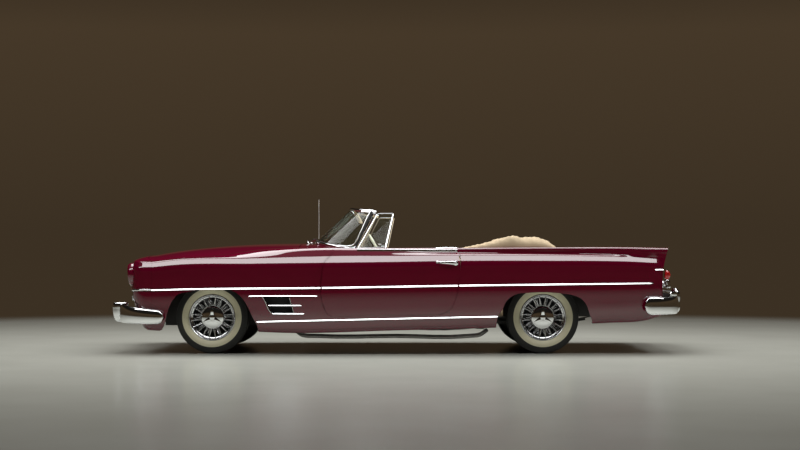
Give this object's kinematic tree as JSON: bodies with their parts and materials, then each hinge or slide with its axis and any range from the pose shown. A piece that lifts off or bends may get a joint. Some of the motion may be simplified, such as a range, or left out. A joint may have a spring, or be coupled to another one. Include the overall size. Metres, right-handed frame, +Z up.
{
  "type": "1950s two-door luxury convertible car",
  "caption": "Long, low open two-door car with tail fins, wrap-round windshield and bumpers, wire wheels, opening doors, hood and boot lid, and steered front wheels.",
  "frame": {"origin": "on the ground, under the middle of the car's overall box", "axes": "+X forward, +Y to the car's left, +Z up"},
  "size_m": [5.116, 2.006, 1.42],
  "materials": {
    "paint": "gloss",
    "chrome": "polished",
    "wheel_chrome": "polished",
    "tyre": "matt with a cream whitewall",
    "glass": "clear",
    "leather": "satin",
    "canvas": "matt",
    "lamp_red": "gloss",
    "ivory": "gloss",
    "frame_steel": "satin black",
    "engine_iron": "painted"
  },
  "bodies": {
    "body": {"chassis_frame": "frame_steel", "floor_pan": "frame_steel", "wheelhouses": "frame_steel", "sills": "paint", "front_fender_left": "paint", "front_fender_right": "paint", "nose_panel": "paint", "grille": "chrome", "radiator": "frame_steel", "bumper_front": "chrome", "headlamps": "chrome", "cowl_panel": "paint", "windshield_frame": "chrome", "windshield_glass": "glass", "dashboard": "paint", "steering_column": "frame_steel", "front_seat": "leather", "rear_seat": "leather", "quarter_trims": "leather", "quarter_panel_left": "paint", "quarter_panel_right": "paint", "top_boot": "canvas", "tonneau_panel": "paint", "tail_panel": "paint", "tail_lamps": "lamp_red", "bumper_rear": "chrome", "engine": "engine_iron", "driveline": "frame_steel", "front_suspension": "frame_steel", "rear_axle": "frame_steel", "exhaust": "chrome", "fuel_tank": "frame_steel", "antenna": "chrome"},
    "hood_lid": {"hood": "paint"},
    "boot_lid": {"deck_lid": "paint"},
    "left_door": {"door_left": "paint", "vent_window_left": "chrome"},
    "right_door": {"door_right": "paint", "vent_window_right": "chrome"},
    "left_knuckle": {"knuckle_left": "frame_steel"},
    "right_knuckle": {"knuckle_right": "frame_steel"},
    "front_left_wheel": {"wheel_front_left": "wheel_chrome", "tyre_front_left": "tyre"},
    "front_right_wheel": {"wheel_front_right": "wheel_chrome", "tyre_front_right": "tyre"},
    "rear_left_wheel": {"wheel_rear_left": "wheel_chrome", "tyre_rear_left": "tyre"},
    "rear_right_wheel": {"wheel_rear_right": "wheel_chrome", "tyre_rear_right": "tyre"},
    "steering": {"steering_wheel": "ivory"}
  },
  "joints": [
    {"name": "hood_hinge", "type": "hinge", "parent": "body", "child": "hood_lid", "pos_m": [0.866, 0, 0.981], "axis": [0, -1, 0], "range_deg": [0, 50]},
    {"name": "boot_lid_hinge", "type": "hinge", "parent": "body", "child": "boot_lid", "pos_m": [-1.47, 0, 0.919], "axis": [0, 1, 0], "range_deg": [0, 60]},
    {"name": "left_door_hinge", "type": "hinge", "parent": "body", "child": "left_door", "pos_m": [0.662, 1.004, 0.6], "axis": [0, 0, -1], "range_deg": [0, 65]},
    {"name": "right_door_hinge", "type": "hinge", "parent": "body", "child": "right_door", "pos_m": [0.662, -1.004, 0.6], "axis": [0, 0, 1], "range_deg": [0, 65]},
    {"name": "left_steer", "type": "hinge", "parent": "body", "child": "left_knuckle", "pos_m": [1.628, 0.645, 0.32], "axis": [0, 0, 1], "range_deg": [-32, 32]},
    {"name": "right_steer", "type": "hinge", "parent": "body", "child": "right_knuckle", "pos_m": [1.628, -0.645, 0.32], "axis": [0, 0, 1], "range_deg": [-32, 32]},
    {"name": "steering_turn", "type": "hinge", "parent": "body", "child": "steering", "pos_m": [0.15, 0.38, 0.884], "axis": [-0.866, 0, 0.5], "range_deg": [-512, 512]},
    {"name": "front_left_spin", "type": "hinge", "parent": "left_knuckle", "child": "front_left_wheel", "pos_m": [1.628, 0.745, 0.32], "axis": [0, 1, 0], "continuous": true},
    {"name": "front_right_spin", "type": "hinge", "parent": "right_knuckle", "child": "front_right_wheel", "pos_m": [1.628, -0.745, 0.32], "axis": [0, 1, 0], "continuous": true},
    {"name": "rear_left_spin", "type": "hinge", "parent": "body", "child": "rear_left_wheel", "pos_m": [-1.293, 0.745, 0.32], "axis": [0, 1, 0], "continuous": true},
    {"name": "rear_right_spin", "type": "hinge", "parent": "body", "child": "rear_right_wheel", "pos_m": [-1.293, -0.745, 0.32], "axis": [0, 1, 0], "continuous": true}
  ],
  "couplings": [
    {"joint": "right_steer", "follows": "left_steer", "ratio": 1},
    {"joint": "steering_turn", "follows": "left_steer", "ratio": 16}
  ]
}
